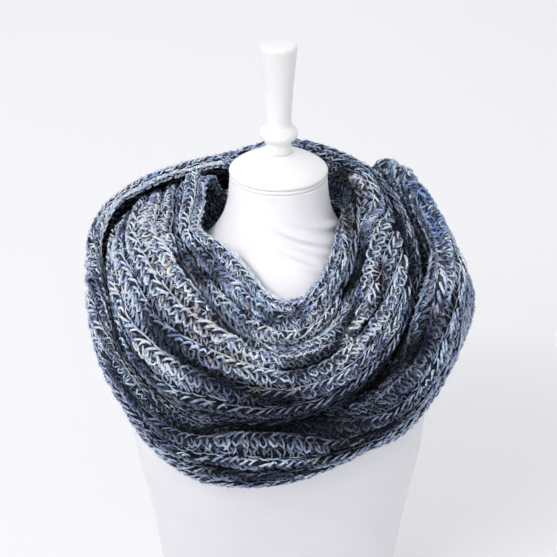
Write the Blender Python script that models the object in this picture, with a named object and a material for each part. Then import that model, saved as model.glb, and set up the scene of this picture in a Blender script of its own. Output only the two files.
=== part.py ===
"""Crocheted neck warmer wound twice round a limbless dress form.

Metres, +Z up, the front towards -Y. The origin is the centre of the form's flat
underside, on the neck's axis. The neck warmer is one ribbed loop: its upper turn
lies round the neck and its lower turn lies outside and below it. Each stretch of
the loop is a wall of its own, parted from the next by a fine seam.
"""
import bpy
import numpy as np

MM = 0.001

# Cloth
WALL = 4.0            # thickness of the crocheted fabric, mm
RIB_DEPTH = 3.5       # height of a rib above and below the fabric's middle, mm
RIBS = 10             # raised ribs across the cloth's width
SEAM = 0.3            # clear gap between neighbouring pieces, mm
STEP = 7.5            # turn angle between sections, degrees
LOOP = 720.0          # turn angle of the whole loop: twice round, degrees
FINE = 8              # curve samples between two section points
TUCKED_SPANS = 2      # spans from each edge to the section points that TUCK names

# One row per section of the loop: turn angle (0 = front, 90 = the form's left
# arm side), then eight (radius from the neck axis, height) points in mm from
# the inner edge to the outer edge:
#     inner edge, inner rise, valley, roll's inner side, roll's crest,
#     roll's outer side, underside, outer edge
SECTIONS = (
    (-120, (84, 526), (97, 526), (114, 511), (142, 504), (166, 487), (185, 458), (190, 426), (178, 400)),
    (-105, (84, 530), (97, 539), (111, 519), (125, 511), (150, 506), (174, 482), (178, 450), (164, 425)),
    (-90, (84, 512), (98, 526), (110, 502), (122, 501), (150, 507), (179, 477), (179, 445), (162, 425)),
    (-75, (91, 501), (103, 511), (112, 487), (124, 497), (153, 503), (185, 463), (177, 430), (158, 414)),
    (-60, (91, 500), (102, 504), (112, 470), (127, 491), (157, 489), (194, 445), (183, 411), (160, 398)),
    (-45, (86, 497), (99, 491), (112, 447), (129, 468), (161, 464), (203, 413), (189, 380), (163, 374)),
    (-30, (83, 483), (98, 472), (113, 427), (132, 448), (165, 440), (200, 393), (186, 363), (161, 360)),
    (-15, (85, 461), (101, 449), (116, 407), (135, 426), (167, 420), (194, 386), (180, 357), (157, 358)),
    (0, (93, 450), (108, 434), (119, 400), (137, 413), (166, 408), (185, 381), (173, 355), (152, 360)),
    (15, (91, 446), (105, 438), (117, 405), (133, 417), (159, 414), (180, 389), (169, 362), (149, 365)),
    (30, (87, 461), (100, 454), (112, 420), (127, 429), (152, 428), (172, 402), (163, 373), (146, 373)),
    (45, (81, 481), (94, 481), (106, 444), (119, 452), (143, 450), (166, 419), (160, 392), (150, 375)),
    (60, (74, 494), (84, 506), (97, 474), (108, 479), (130, 480), (157, 451), (160, 423), (149, 399)),
    (75, (71, 500), (79, 519), (91, 500), (101, 507), (122, 506), (147, 478), (155, 447), (150, 411)),
    (90, (73, 505), (78, 526), (88, 535), (101, 531), (119, 521), (142, 486), (151, 453), (150, 421)),
    (105, (74, 503), (76, 528), (86, 541), (100, 542), (116, 530), (136, 500), (145, 467), (148, 437)),
    (120, (72, 502), (75, 527), (86, 541), (100, 541), (115, 532), (132, 507), (140, 475), (143, 447)),
    (150, (70, 508), (71, 534), (81, 549), (95, 548), (108, 534), (119, 509), (124, 487), (119, 469)),
    (180, (68, 510), (69, 536), (78, 551), (92, 550), (104, 535), (113, 511), (117, 491), (112, 477)),
    (210, (70, 512), (74, 530), (87, 540), (107, 534), (128, 521), (147, 502), (158, 481), (163, 460)),
    (225, (84, 536), (97, 539), (113, 533), (138, 519), (163, 503), (181, 478), (190, 447), (192, 421)),
    (240, (114, 529), (130, 529), (149, 520), (172, 506), (196, 484), (212, 450), (217, 412), (215, 384)),
    (255, (151, 519), (167, 517), (185, 500), (200, 481), (210, 454), (213, 416), (210, 376), (204, 350)),
    (262.5, (182, 501), (192, 499), (200, 485), (206, 462), (209, 429), (206, 386), (201, 343), (193, 318)),
    (270, (198, 463), (203, 477), (206, 465), (207, 435), (204, 390), (198, 346), (190, 309), (181, 286)),
    (277.5, (188, 423), (197, 447), (203, 464), (208, 444), (205, 400), (197, 350), (187, 312), (177, 288)),
    (285, (168, 398), (188, 417), (202, 450), (210, 434), (207, 392), (198, 347), (187, 312), (176, 291)),
    (300, (168, 372), (191, 387), (206, 411), (214, 418), (213, 386), (199, 345), (184, 314), (170, 295)),
    (315, (158, 348), (180, 354), (202, 366), (214, 368), (213, 345), (200, 313), (185, 291), (169, 282)),
    (330, (145, 345), (167, 332), (190, 334), (202, 328), (201, 305), (188, 281), (172, 266), (156, 264)),
    (345, (134, 358), (147, 336), (166, 330), (186, 319), (186, 297), (174, 273), (159, 260), (145, 262)),
    (360, (128, 372), (138, 350), (157, 335), (174, 319), (175, 296), (164, 272), (151, 261), (138, 266)),
    (375, (130, 368), (142, 349), (164, 342), (182, 329), (182, 307), (169, 285), (155, 275), (142, 279)),
    (390, (144, 350), (162, 346), (183, 355), (197, 350), (196, 329), (182, 309), (167, 295), (152, 294)),
    (405, (160, 362), (169, 378), (182, 395), (201, 398), (212, 372), (201, 337), (186, 313), (169, 307)),
    (420, (164, 396), (172, 420), (175, 444), (190, 463), (213, 433), (210, 382), (194, 345), (177, 326)),
    (435, (160, 402), (168, 432), (172, 468), (186, 488), (203, 460), (211, 415), (201, 366), (187, 342)),
    (450, (168, 404), (173, 445), (168, 484), (177, 499), (191, 456), (213, 408), (208, 365), (196, 344)),
    (465, (162, 440), (160, 483), (152, 509), (167, 508), (192, 459), (213, 403), (210, 360), (200, 340)),
    (480, (154, 490), (147, 522), (158, 527), (178, 500), (198, 452), (210, 402), (205, 356), (196, 333)),
    (510, (142, 497), (151, 488), (161, 468), (169, 440), (174, 405), (174, 366), (168, 330), (159, 308)),
    (540, (116, 459), (121, 447), (129, 428), (135, 402), (138, 370), (137, 338), (131, 308), (121, 290)),
    (570, (108, 478), (124, 470), (140, 449), (153, 427), (162, 400), (167, 371), (166, 340), (159, 316)),
    (585, (94, 499), (108, 501), (128, 487), (147, 469), (165, 445), (178, 415), (181, 384), (172, 357)),
)

# Where the cloth is tucked away its ribs crowd together: the rib lines that lie at the
# section's valley and at the roll's outer side. Elsewhere the ribs are evenly spaced.
EVEN_UNTIL, EVEN_AGAIN = 285, 510   # turn angles
TUCK = (  # (turn angle, rib line at the valley, rib line at the roll's outer side)
    (300, 6.5, 15.5),
    (315, 7.8, 16),
    (330, 8.8, 16),
    (345, 9, 15.3),
    (360, 8.8, 14.5),
    (375, 7.8, 13.6),
    (390, 6.2, 12.6),
    (405, 3.8, 11.9),
    (420, 3.6, 11.6),
    (435, 4.4, 12.2),
    (450, 5.2, 13),
    (465, 4.8, 13.5),
    (480, 2.8, 14.1),
)

# name, first and last turn angle, first and last rib line (two per rib), colour
STRETCHES = (
    ("collar_fold", -105.0, 97.5, 0, 6, (0.20, 0.27, 0.37)),
    ("front_roll", -105.0, 97.5, 6, 20, (0.24, 0.31, 0.41)),
    ("neck_back", 97.5, 217.5, 0, 20, (0.18, 0.24, 0.33)),
    ("left_drape", 217.5, 292.5, 0, 20, (0.25, 0.33, 0.44)),
    ("lower_front", 292.5, 412.5, 0, 20, (0.21, 0.28, 0.38)),
    ("right_drape", 412.5, 487.5, 0, 20, (0.19, 0.25, 0.36)),
    ("lower_back", 487.5, 615.0, 0, 20, (0.17, 0.22, 0.31)),
)

# Form, one row per level: height, half width, front depth, back depth,
# roundness of the plan (2 = ellipse), mm
RIM_HEIGHT = 560.0    # height of the neck cap's rim
LEVELS = (
    (0, 138, 84, 66, 2.3),
    (40, 139, 82, 64, 2.3),
    (90, 145, 88, 66, 2.3),
    (130, 150, 95, 70, 2.35),
    (190, 160, 112, 80, 2.4),
    (230, 166, 125, 88, 2.4),
    (270, 168, 130, 93, 2.4),
    (310, 167, 128, 97, 2.35),
    (350, 162, 118, 99, 2.25),
    (390, 151, 104, 99, 2.1),
    (415, 139, 93, 96, 2.1),
    (435, 123, 83, 90, 2.1),
    (455, 102, 73, 80, 2.1),
    (472, 84, 66, 71, 2.05),
    (487, 71, 60, 64, 2.0),
    (502, 62, 57, 58, 2.0),
    (520, 56, 54, 55, 2.0),
    (545, 53, 52, 53, 2.0),
    (560, 52, 52, 52, 2.0),
)
FORM_SIDES = 56
FORM_RINGS = 40
NECK_TOP = RIM_HEIGHT - 9.0
BASE_ROUND = 3.0      # rounding of the bottom edge

# Turned pieces: (radius, height above the neck cap's rim) from below, mm
CAP_PROFILE = (
    (0.0, -8.7), (50.0, -8.7), (52.0, -8.0), (52.5, -6.8), (52.0, -5.6),
    (50.6, -4.9), (50.6, -4.3), (52.6, -3.6), (53.0, -1.8), (52.4, 0.0),
    (50.0, 2.6), (45.0, 6.0), (38.0, 10.0), (30.0, 14.2), (22.0, 17.4),
    (15.5, 19.0), (0.0, 19.0),
)
FINIAL_PROFILE = (
    (0.0, 19.3), (13.8, 19.3), (14.4, 20.6), (14.2, 24.0), (13.6, 28.0),
    (14.0, 31.0), (16.4, 33.6), (19.4, 36.0), (20.8, 39.0), (20.9, 41.6),
    (19.8, 44.4), (17.2, 47.2), (14.8, 50.0), (13.7, 54.0), (13.7, 60.0),
    (14.4, 74.0), (15.6, 90.0), (17.0, 106.0), (18.3, 120.0), (19.3, 130.0),
    (19.9, 133.6), (19.6, 136.4), (18.2, 138.0), (15.5, 138.6), (0.0, 138.6),
)
TURNED_SIDES = 40

CLOTH_ROUGHNESS = 0.9
JERSEY = ((0.86, 0.86, 0.89), 0.8)
PAINT = ((0.9, 0.9, 0.9), 0.35)


def clear_scene():
    for item in list(bpy.data.objects):
        bpy.data.objects.remove(item, do_unlink=True)


def material(name, colour, roughness):
    mat = bpy.data.materials.new(name)
    mat.use_nodes = True
    shader = mat.node_tree.nodes["Principled BSDF"]
    shader.inputs["Base Color"].default_value = (*colour, 1.0)
    shader.inputs["Roughness"].default_value = roughness
    return mat


def add_solid(name, points, faces, mat):
    """One closed body from points in mm and triangles that face out."""
    mesh = bpy.data.meshes.new(name)
    mesh.from_pydata((np.asarray(points) * MM).tolist(), [], faces)
    mesh.validate()
    mesh.materials.append(mat)
    body = bpy.data.objects.new(name, mesh)
    bpy.context.scene.collection.objects.link(body)


def split(a, b, c, d):
    return [(a, b, c), (a, c, d)]


def smooth_rows(at, keys, rows):
    """Cubic curve through the rows, sampled at the positions `at`."""
    width = np.diff(keys)[:, None]
    rise = np.diff(rows, axis=0) / width
    slope = np.zeros_like(rows)
    slope[1:-1] = (rise[:-1] * width[1:] + rise[1:] * width[:-1]) / (width[1:] + width[:-1])
    slope[0], slope[-1] = rise[0], rise[-1]
    span = np.clip(np.searchsorted(keys, at) - 1, 0, len(keys) - 2)
    step = width[span]
    t = (at - keys[span])[:, None] / step
    return ((2 * t**3 - 3 * t**2 + 1) * rows[span] + (t**3 - 2 * t**2 + t) * step * slope[span]
            + (3 * t**2 - 2 * t**3) * rows[span + 1] + (t**3 - t**2) * step * slope[span + 1])


def loop_sections(turns):
    """Section points (radius, height) at each turn angle of the closed loop."""
    keys = np.array([row[0] for row in SECTIONS])
    rows = np.array([np.ravel(row[1:]) for row in SECTIONS], float)
    wrap = 3
    keys = np.concatenate([keys[-wrap:] - LOOP, keys, keys[:wrap] + LOOP])
    rows = np.concatenate([rows[-wrap:], rows, rows[:wrap]])
    return smooth_rows(turns, keys, rows).reshape(len(turns), -1, 2)


def section_curve(section):
    """Fine points along one section."""
    ends = [2 * section[0] - section[1]], [2 * section[-1] - section[-2]]
    p = np.concatenate([ends[0], section, ends[1]])
    t = (np.arange(FINE) / FINE)[:, None]
    curve = [0.5 * (2 * b + (c - a) * t + (2 * a - 5 * b + 4 * c - d) * t**2
                    + (3 * b - a - 3 * c + d) * t**3)
             for a, b, c, d in zip(p, p[1:], p[2:], p[3:])]
    return np.concatenate(curve + [section[-1:]])


def step_lengths(curve):
    return np.linalg.norm(np.diff(curve, axis=0), axis=1)


def crowding_at(turns):
    """How closely the ribs lie next to the inner and the outer edge, at each turn angle."""
    sections = {turn: np.array(points, float) for turn, *points in SECTIONS}
    tucked = TUCKED_SPANS * FINE
    table = [(EVEN_UNTIL, 1.0, 1.0)]
    for turn, valley_line, roll_line in TUCK:
        run = step_lengths(section_curve(sections[turn]))
        pitch = run[tucked:-tucked].sum() / (roll_line - valley_line)
        table.append((turn, valley_line * pitch / run[:tucked].sum(),
                      (2 * RIBS - roll_line) * pitch / run[-tucked:].sum()))
    table.append((EVEN_AGAIN, 1.0, 1.0))
    at, *crowding = np.transpose(table)
    return np.stack([np.interp(turns, at, share) for share in crowding], axis=-1)


def rib_lines(section, crowding):
    """Points of one section where the rib lines cross it."""
    curve = section_curve(section)
    run = step_lengths(curve)
    run[:TUCKED_SPANS * FINE] *= crowding[0]
    run[-TUCKED_SPANS * FINE:] *= crowding[1]
    run = np.concatenate([[0.0], np.cumsum(run)])
    marks = np.linspace(0.0, run[-1], 2 * RIBS + 1)
    return np.stack([np.interp(marks, run, curve[:, k]) for k in (0, 1)], axis=-1)


def fabric_grid(turns):
    """Middle of the fabric: rows along the loop, columns on the rib lines."""
    lines = np.array([rib_lines(s, c) for s, c in zip(loop_sections(turns), crowding_at(turns))])
    angle = np.radians(turns)[:, None]
    radius, height = lines[..., 0], lines[..., 1]
    return np.stack([radius * np.sin(angle), -radius * np.cos(angle), height], axis=-1)


def unit(vectors):
    return vectors / np.linalg.norm(vectors, axis=-1, keepdims=True)


def add_stretch(name, start, stop, first, last, mat):
    """Wall of ribbed fabric between two turn angles and two rib lines."""
    count = round((stop - start) / STEP)
    turns = start + STEP * np.arange(-1, count + 2)
    middle = fabric_grid(turns)
    along, across = np.gradient(middle, axis=0), np.gradient(middle, axis=1)
    out = unit(np.cross(along, across))
    ridge = np.where(np.arange(2 * RIBS + 1) % 2 == 1, RIB_DEPTH, -RIB_DEPTH)
    middle = middle + out * ridge[:, None]

    rows, columns = slice(1, count + 2), slice(first, last + 1)
    middle, out = middle[rows, columns], out[rows, columns]
    onward = unit(np.cross(across[rows, columns], out))
    sideways = unit(np.cross(out, along[rows, columns]))
    middle[0] += onward[0] * SEAM / 2
    middle[-1] -= onward[-1] * SEAM / 2
    middle[:, 0] += sideways[:, 0] * SEAM / 2
    middle[:, -1] -= sideways[:, -1] * SEAM / 2

    n, m = middle.shape[:2]
    points = np.concatenate([(middle + out * WALL / 2).reshape(-1, 3),
                             (middle - out * WALL / 2).reshape(-1, 3)])
    outer = np.arange(n * m).reshape(n, m)
    inner = outer + n * m
    faces = []
    for i in range(n - 1):
        for j in range(m - 1):
            faces += split(outer[i, j], outer[i + 1, j], outer[i + 1, j + 1], outer[i, j + 1])
            faces += split(inner[i, j + 1], inner[i + 1, j + 1], inner[i + 1, j], inner[i, j])
        faces += split(outer[i, 0], inner[i, 0], inner[i + 1, 0], outer[i + 1, 0])
        faces += split(outer[i, -1], outer[i + 1, -1], inner[i + 1, -1], inner[i, -1])
    for j in range(m - 1):
        faces += split(outer[0, j], outer[0, j + 1], inner[0, j + 1], inner[0, j])
        faces += split(outer[-1, j], inner[-1, j], inner[-1, j + 1], outer[-1, j + 1])
    add_solid(name, points, [tuple(map(int, face)) for face in faces], mat)


def add_rings(name, rings, mat):
    """Closed body through stacked rings, with a middle point on each end."""
    sides = len(rings[0])
    points = np.concatenate([*rings, [np.mean(rings[0], axis=0)], [np.mean(rings[-1], axis=0)]])
    low, high = len(points) - 2, len(points) - 1
    faces = []
    for k in range(sides):
        after = (k + 1) % sides
        faces.append((low, after, k))
        top = (len(rings) - 1) * sides
        faces.append((high, top + k, top + after))
        for i in range(len(rings) - 1):
            here, above = i * sides, (i + 1) * sides
            faces += split(here + k, here + after, above + after, above + k)
    add_solid(name, points, faces, mat)


def add_form_body(mat):
    levels = np.array(LEVELS)
    heights = np.linspace(0.0, NECK_TOP, FORM_RINGS)
    rows = smooth_rows(heights, levels[:, 0], levels[:, 1:])
    angle = np.arange(FORM_SIDES) * 2 * np.pi / FORM_SIDES
    east, north = np.cos(angle), np.sin(angle)
    rings = []
    for index, (height, (width, front, back, roundness)) in enumerate(zip(heights, rows)):
        inset = BASE_ROUND if index == 0 else 0.0
        depth = np.where(north > 0, back, front)
        reach = ((np.abs(east) / width) ** roundness
                 + (np.abs(north) / depth) ** roundness) ** (-1 / roundness) - inset
        rings.append(np.stack([reach * east, reach * north, np.full(FORM_SIDES, height)], axis=-1))
    add_rings("form_body", rings, mat)


def add_turned(name, profile, mat):
    angle = np.arange(TURNED_SIDES) * 2 * np.pi / TURNED_SIDES
    rings = [np.stack([radius * np.cos(angle), radius * np.sin(angle),
                       np.full(TURNED_SIDES, RIM_HEIGHT + height)], axis=-1)
             for radius, height in profile[1:-1]]
    add_rings(name, rings, mat)


clear_scene()
for stretch in STRETCHES:
    title, colour = stretch[0], stretch[-1]
    add_stretch(*stretch[:-1], material(title, colour, CLOTH_ROUGHNESS))
add_form_body(material("form_body", *JERSEY))
add_turned("neck_cap", CAP_PROFILE, material("neck_cap", *PAINT))
add_turned("finial", FINIAL_PROFILE, material("finial", *PAINT))
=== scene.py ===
"""Looks of the crocheted neck warmer and the dress form it hangs on.

The cloth is one ribbed loop wound twice round the neck. Its middle surface comes
from the same sections as the solids. Every stretch gets a thin fabric shell and, over
it, the yarn: braids along the ribs' crests, loops that fill the valleys, corded edges
and loose fibres. Sizes are in mm unless stated.
"""

import math

import bpy
import numpy as np
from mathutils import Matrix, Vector
from mathutils.bvhtree import BVHTree


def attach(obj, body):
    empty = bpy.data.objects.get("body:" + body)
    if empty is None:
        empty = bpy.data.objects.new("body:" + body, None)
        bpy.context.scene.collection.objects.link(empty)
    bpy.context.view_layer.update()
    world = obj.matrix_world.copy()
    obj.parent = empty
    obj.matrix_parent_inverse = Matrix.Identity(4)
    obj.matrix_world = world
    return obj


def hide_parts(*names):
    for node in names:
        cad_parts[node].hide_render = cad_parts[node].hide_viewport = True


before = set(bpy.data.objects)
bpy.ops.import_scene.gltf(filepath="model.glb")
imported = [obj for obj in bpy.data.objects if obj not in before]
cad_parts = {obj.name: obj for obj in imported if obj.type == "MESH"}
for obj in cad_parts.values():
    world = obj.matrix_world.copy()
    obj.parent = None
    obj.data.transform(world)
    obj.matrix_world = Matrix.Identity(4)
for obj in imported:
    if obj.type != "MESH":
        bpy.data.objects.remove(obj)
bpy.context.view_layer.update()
scene = bpy.context.scene

MM = 0.001
rng = np.random.default_rng(7)

# ---- the cloth's form
RIBS = 10  # raised ribs across the cloth
RIB_DEPTH = 3.5  # above and below the fabric's middle
RIB_CURVE = 1.6  # how round the ribs' crests are
LOOP = 720  # turn angle of the whole loop, degrees
FINE = 8  # curve samples between two section points
TUCKED_SPANS = 2  # spans from each edge to the points that TUCK names
GRID_START, GRID_STOP, GRID_STEP = -142.5, 637.5, 1.5  # turn angles of the fine grid
PER_LINE = 4  # grid columns between two rib lines
WRAPPED_ROWS = 4  # sections repeated past each end of the loop

# turn angle, then radius and height of eight points from the inner to the outer edge
SECTIONS = (
    (-120, 84, 526, 97, 526, 114, 511, 142, 504, 166, 487, 185, 458, 190, 426, 178, 400),
    (-105, 84, 530, 97, 539, 111, 519, 125, 511, 150, 506, 174, 482, 178, 450, 164, 425),
    (-90, 84, 512, 98, 526, 110, 502, 122, 501, 150, 507, 179, 477, 179, 445, 162, 425),
    (-75, 91, 501, 103, 511, 112, 487, 124, 497, 153, 503, 185, 463, 177, 430, 158, 414),
    (-60, 91, 500, 102, 504, 112, 470, 127, 491, 157, 489, 194, 445, 183, 411, 160, 398),
    (-45, 86, 497, 99, 491, 112, 447, 129, 468, 161, 464, 203, 413, 189, 380, 163, 374),
    (-30, 83, 483, 98, 472, 113, 427, 132, 448, 165, 440, 200, 393, 186, 363, 161, 360),
    (-15, 85, 461, 101, 449, 116, 407, 135, 426, 167, 420, 194, 386, 180, 357, 157, 358),
    (0, 93, 450, 108, 434, 119, 400, 137, 413, 166, 408, 185, 381, 173, 355, 152, 360),
    (15, 91, 446, 105, 438, 117, 405, 133, 417, 159, 414, 180, 389, 169, 362, 149, 365),
    (30, 87, 461, 100, 454, 112, 420, 127, 429, 152, 428, 172, 402, 163, 373, 146, 373),
    (45, 81, 481, 94, 481, 106, 444, 119, 452, 143, 450, 166, 419, 160, 392, 150, 375),
    (60, 74, 494, 84, 506, 97, 474, 108, 479, 130, 480, 157, 451, 160, 423, 149, 399),
    (75, 71, 500, 79, 519, 91, 500, 101, 507, 122, 506, 147, 478, 155, 447, 150, 411),
    (90, 73, 505, 78, 526, 88, 535, 101, 531, 119, 521, 142, 486, 151, 453, 150, 421),
    (105, 74, 503, 76, 528, 86, 541, 100, 542, 116, 530, 136, 500, 145, 467, 148, 437),
    (120, 72, 502, 75, 527, 86, 541, 100, 541, 115, 532, 132, 507, 140, 475, 143, 447),
    (150, 70, 508, 71, 534, 81, 549, 95, 548, 108, 534, 119, 509, 124, 487, 119, 469),
    (180, 68, 510, 69, 536, 78, 551, 92, 550, 104, 535, 113, 511, 117, 491, 112, 477),
    (210, 70, 512, 74, 530, 87, 540, 107, 534, 128, 521, 147, 502, 158, 481, 163, 460),
    (225, 84, 536, 97, 539, 113, 533, 138, 519, 163, 503, 181, 478, 190, 447, 192, 421),
    (240, 114, 529, 130, 529, 149, 520, 172, 506, 196, 484, 212, 450, 217, 412, 215, 384),
    (255, 151, 519, 167, 517, 185, 500, 200, 481, 210, 454, 213, 416, 210, 376, 204, 350),
    (262.5, 182, 501, 192, 499, 200, 485, 206, 462, 209, 429, 206, 386, 201, 343, 193, 318),
    (270, 198, 463, 203, 477, 206, 465, 207, 435, 204, 390, 198, 346, 190, 309, 181, 286),
    (277.5, 188, 423, 197, 447, 203, 464, 208, 444, 205, 400, 197, 350, 187, 312, 177, 288),
    (285, 168, 398, 188, 417, 202, 450, 210, 434, 207, 392, 198, 347, 187, 312, 176, 291),
    (300, 168, 372, 191, 387, 206, 411, 214, 418, 213, 386, 199, 345, 184, 314, 170, 295),
    (315, 158, 348, 180, 354, 202, 366, 214, 368, 213, 345, 200, 313, 185, 291, 169, 282),
    (330, 145, 345, 167, 332, 190, 334, 202, 328, 201, 305, 188, 281, 172, 266, 156, 264),
    (345, 134, 358, 147, 336, 166, 330, 186, 319, 186, 297, 174, 273, 159, 260, 145, 262),
    (360, 128, 372, 138, 350, 157, 335, 174, 319, 175, 296, 164, 272, 151, 261, 138, 266),
    (375, 130, 368, 142, 349, 164, 342, 182, 329, 182, 307, 169, 285, 155, 275, 142, 279),
    (390, 144, 350, 162, 346, 183, 355, 197, 350, 196, 329, 182, 309, 167, 295, 152, 294),
    (405, 160, 362, 169, 378, 182, 395, 201, 398, 212, 372, 201, 337, 186, 313, 169, 307),
    (420, 164, 396, 172, 420, 175, 444, 190, 463, 213, 433, 210, 382, 194, 345, 177, 326),
    (435, 160, 402, 168, 432, 172, 468, 186, 488, 203, 460, 211, 415, 201, 366, 187, 342),
    (450, 168, 404, 173, 445, 168, 484, 177, 499, 191, 456, 213, 408, 208, 365, 196, 344),
    (465, 162, 440, 160, 483, 152, 509, 167, 508, 192, 459, 213, 403, 210, 360, 200, 340),
    (480, 154, 490, 147, 522, 158, 527, 178, 500, 198, 452, 210, 402, 205, 356, 196, 333),
    (510, 142, 497, 151, 488, 161, 468, 169, 440, 174, 405, 174, 366, 168, 330, 159, 308),
    (540, 116, 459, 121, 447, 129, 428, 135, 402, 138, 370, 137, 338, 131, 308, 121, 290),
    (570, 108, 478, 124, 470, 140, 449, 153, 427, 162, 400, 167, 371, 166, 340, 159, 316),
    (585, 94, 499, 108, 501, 128, 487, 147, 469, 165, 445, 178, 415, 181, 384, 172, 357),
)
EVEN_UNTIL, EVEN_AGAIN = 285, 510  # outside these turn angles the ribs are even
TUCK = (  # turn angle, rib lines at the section's third and sixth points
    (300, 6.5, 15.5), (315, 7.8, 16), (330, 8.8, 16), (345, 9, 15.3), (360, 8.8, 14.5),
    (375, 7.8, 13.6), (390, 6.2, 12.6), (405, 3.8, 11.9), (420, 3.6, 11.6), (435, 4.4, 12.2),
    (450, 5.2, 13), (465, 4.8, 13.5), (480, 2.8, 14.1),
)
STRETCHES = (  # name, first and last turn angle, first and last rib line
    ("collar_fold", -105, 97.5, 0, 6),
    ("front_roll", -105, 97.5, 6, 20),
    ("neck_back", 97.5, 217.5, 0, 20),
    ("left_drape", 217.5, 292.5, 0, 20),
    ("lower_front", 292.5, 412.5, 0, 20),
    ("right_drape", 412.5, 487.5, 0, 20),
    ("lower_back", 487.5, 615, 0, 20),
)


def join(*parts, axis=0):
    return np.concatenate(parts, axis=axis)


def pack(*parts):
    return np.stack(parts, axis=-1)


def norm(v):
    return np.linalg.norm(v, axis=-1)


def unit(v):
    return v / np.maximum(norm(v)[..., None], 1e-9)


def smooth_rows(at, keys, rows):
    """Cubic curve through the rows, sampled at the positions `at`."""
    width = np.diff(keys)[:, None]
    rise = np.diff(rows, axis=0) / width
    slope = np.zeros_like(rows)
    slope[1:-1] = (rise[:-1] * width[1:] + rise[1:] * width[:-1]) / (width[1:] + width[:-1])
    slope[0], slope[-1] = rise[0], rise[-1]
    span = np.clip(np.searchsorted(keys, at) - 1, 0, len(keys) - 2)
    step = width[span]
    t = (at - keys[span])[:, None] / step
    return ((2 * t**3 - 3 * t**2 + 1) * rows[span] + (t**3 - 2 * t**2 + t) * step * slope[span]
            + (3 * t**2 - 2 * t**3) * rows[span + 1] + (t**3 - t**2) * step * slope[span + 1])


def section_curve(section):
    """Fine points along one section."""
    ends = [2 * section[0] - section[1]], [2 * section[-1] - section[-2]]
    p = join(ends[0], section, ends[1])
    t = (np.arange(FINE) / FINE)[:, None]
    curve = [0.5 * (2 * b + (c - a) * t + (2 * a - 5 * b + 4 * c - d) * t**2
                    + (3 * b - a - 3 * c + d) * t**3)
             for a, b, c, d in zip(p, p[1:], p[2:], p[3:])]
    return np.concatenate(curve + [section[-1:]])


def step_lengths(curve):
    return norm(np.diff(curve, axis=0))


def travelled(path):
    """Length along a path, or along several side by side, at each of its points."""
    steps = step_lengths(path)
    return np.cumsum(join(0 * steps[:1], steps), axis=0)


def crowding_at(turns):
    """How closely the ribs lie next to the inner and the outer edge."""
    sections = {turn: np.array(points, float).reshape(-1, 2) for turn, *points in SECTIONS}
    tucked = TUCKED_SPANS * FINE
    table = [(EVEN_UNTIL, 1, 1)]
    for turn, valley_line, roll_line in TUCK:
        run = step_lengths(section_curve(sections[turn]))
        pitch = run[tucked:-tucked].sum() / (roll_line - valley_line)
        table.append((turn, valley_line * pitch / run[:tucked].sum(),
                      (2 * RIBS - roll_line) * pitch / run[-tucked:].sum()))
    table.append((EVEN_AGAIN, 1, 1))
    at, *crowding = np.transpose(table)
    return pack(*(np.interp(turns, at, share) for share in crowding))


def across_section(section, crowding, count):
    """`count` points of one section, evenly spread apart from the crowding."""
    curve = section_curve(section)
    run = step_lengths(curve)
    run[:TUCKED_SPANS * FINE] *= crowding[0]
    run[-TUCKED_SPANS * FINE:] *= crowding[1]
    run = join([0], np.cumsum(run))
    marks = np.linspace(0, run[-1], count)
    return pack(*(np.interp(marks, run, curve[:, k]) for k in (0, 1)))


# The cloth's folds: depth (towards the form; a negative one stands out), reach in rib
# lines, then (turn angle, rib line) points
FOLDS = (
    (4.1, 0.7, (-64, 3.8), (-56, 2.3), (-47, 1.4)),
    (4.1, 0.62, (-54, 4), (-40, 2.8)),
    (5.4, 0.7, (-64, 5.4), (-56, 6.2), (-48, 6.6)),
    (6.8, 0.79, (-34, 6.9), (-20, 8.2), (-11, 9.2)),
    (6.8, 0.88, (4, 11), (20, 10.7), (30, 9.2), (38, 8.2)),
    (6.1, 0.97, (42, 4.4), (50, 5.6), (57, 6.7), (64, 6.2)),
    (5.4, 0.62, (34, 11.4), (46, 10.6), (58, 9.6)),
    (6.1, 0.7, (-46, 12.1), (-30, 12.9), (-14, 13.7), (4, 14.6)),
    (6.8, 1.06, (64, 15), (74, 12.5), (79, 10), (86, 8.6), (108, 8.2)),
    (3.4, 0.53, (-6, 2.5), (4, 1.9), (15, 1)),
    (4.1, 0.79, (84, 2.6), (104, 3.7), (122, 4.5)),
    (4.1, 0.62, (-52, 14.4), (-40, 15.8)),
    (4.7, 0.88, (-104, 11.6), (-86, 12)),
    (5.4, 0.7, (284, 6), (294, 7)),
    (5.4, 0.79, (320, 7.3), (332, 8.2)),
    (4.7, 0.7, (306, 9), (318, 9.8)),
    (6.1, 0.79, (376, 10.9), (390, 10.2), (398, 9.4)),
    (4.7, 0.53, (356, 12.4), (370, 12.6)),
    (5.4, 0.79, (338, 12.8), (350, 14.3), (362, 13.8)),
    (6.1, 0.88, (400, 1), (404, 3.2), (410, 5.4)),
    (-4.1, 0.64, (-104, 6.6), (-70, 6.9), (-55, 7.7), (-40, 8.4), (-24, 9.5), (-4, 10.2)),
    (-3.4, 0.56, (-92, 8.9), (-50, 8.9)),
    (-4.1, 0.72, (-96, 12.9), (-75, 12.8), (-56, 13.2), (-42, 14), (-30, 15.1)),
    (-4.1, 0.64, (-10, 4.6), (4, 3.5), (18, 2.9), (30, 3.6)),
    (-4.1, 0.64, (24, 11.3), (40, 10), (55, 8.5), (70, 6.8), (85, 5.2), (102, 4.6)),
    (-3.4, 0.64, (28, 12.8), (60, 12.4), (70, 10.5), (73, 8.5)),
    (-4.1, 0.48, (334, 7.8), (344, 9.4), (358, 10.3), (374, 10.4)),
    (-3.4, 0.48, (338, 10.2), (350, 11.4), (362, 11.8)),
    (-4.1, 0.56, (414, 4.2), (424, 6.2), (434, 8)),
    (-3.4, 0.56, (390, 3.6), (402, 6.2), (412, 8.2), (419, 10.2)),
)
# Painted shade and light: a fold's crease is darkened by its depth, and a fold that stands out is
# lightened
FOLD_SHADE = 0.58  # doublings darker for each mm of a fold's depth
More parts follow.
